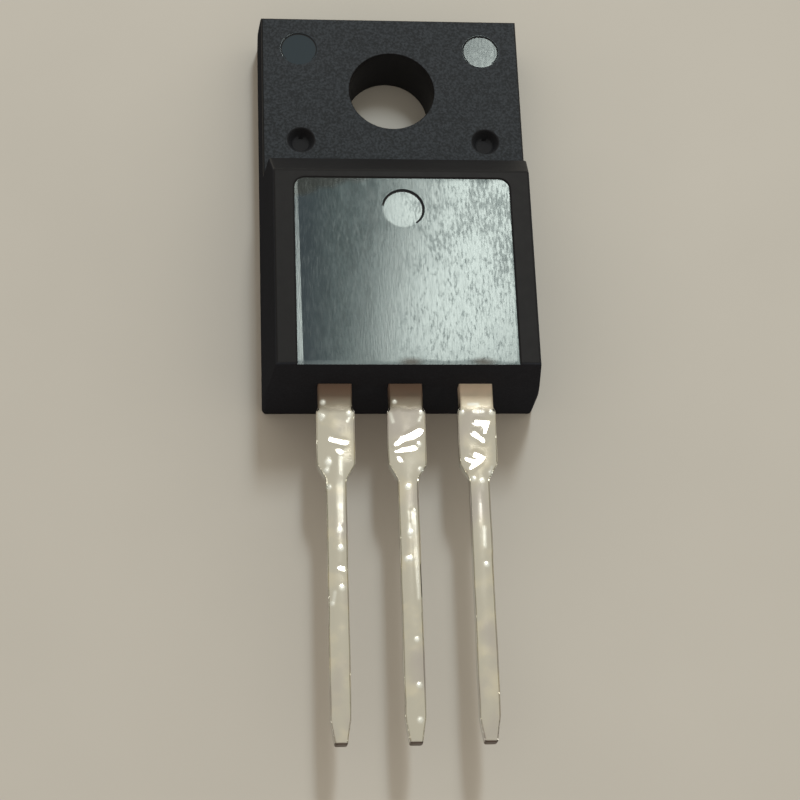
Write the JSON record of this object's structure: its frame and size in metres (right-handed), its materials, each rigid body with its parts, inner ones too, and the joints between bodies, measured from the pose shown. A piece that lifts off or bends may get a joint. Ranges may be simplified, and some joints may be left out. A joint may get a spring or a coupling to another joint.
{
  "type": "power transistor",
  "caption": "Fully moulded power transistor: black resin body with a screw hole in its thinner tab and straight solder-dipped leads in a row.",
  "frame": {"origin": "where the axis of the screw hole meets the flat back of the moulding", "axes": "+Z out of the front face along the screw hole, +Y to the tab's top edge, leads towards -Y, +X to the emitter lead's side"},
  "size_m": [0.0102, 0.0287, 0.0047],
  "materials": {
    "resin": "fine matt grain, with a polished panel on the front",
    "tinned_copper": "solder-dipped, wavy and bright, with bare copper plating next to the moulding",
    "silicon": "polished silicon with an aluminium top metal",
    "solder": "dull grey solder",
    "bond_wire": "drawn aluminium wire"
  },
  "bodies": {
    "root": {"moulded_body": "resin", "collector_frame": "tinned_copper", "gate_lead": "tinned_copper", "emitter_lead": "tinned_copper", "transistor_chip": "silicon", "diode_chip": "silicon", "transistor_solder": "solder", "diode_solder": "solder", "gate_wire": "bond_wire", "emitter_wire": "bond_wire", "diode_wire": "bond_wire"}
  },
  "joints": []
}
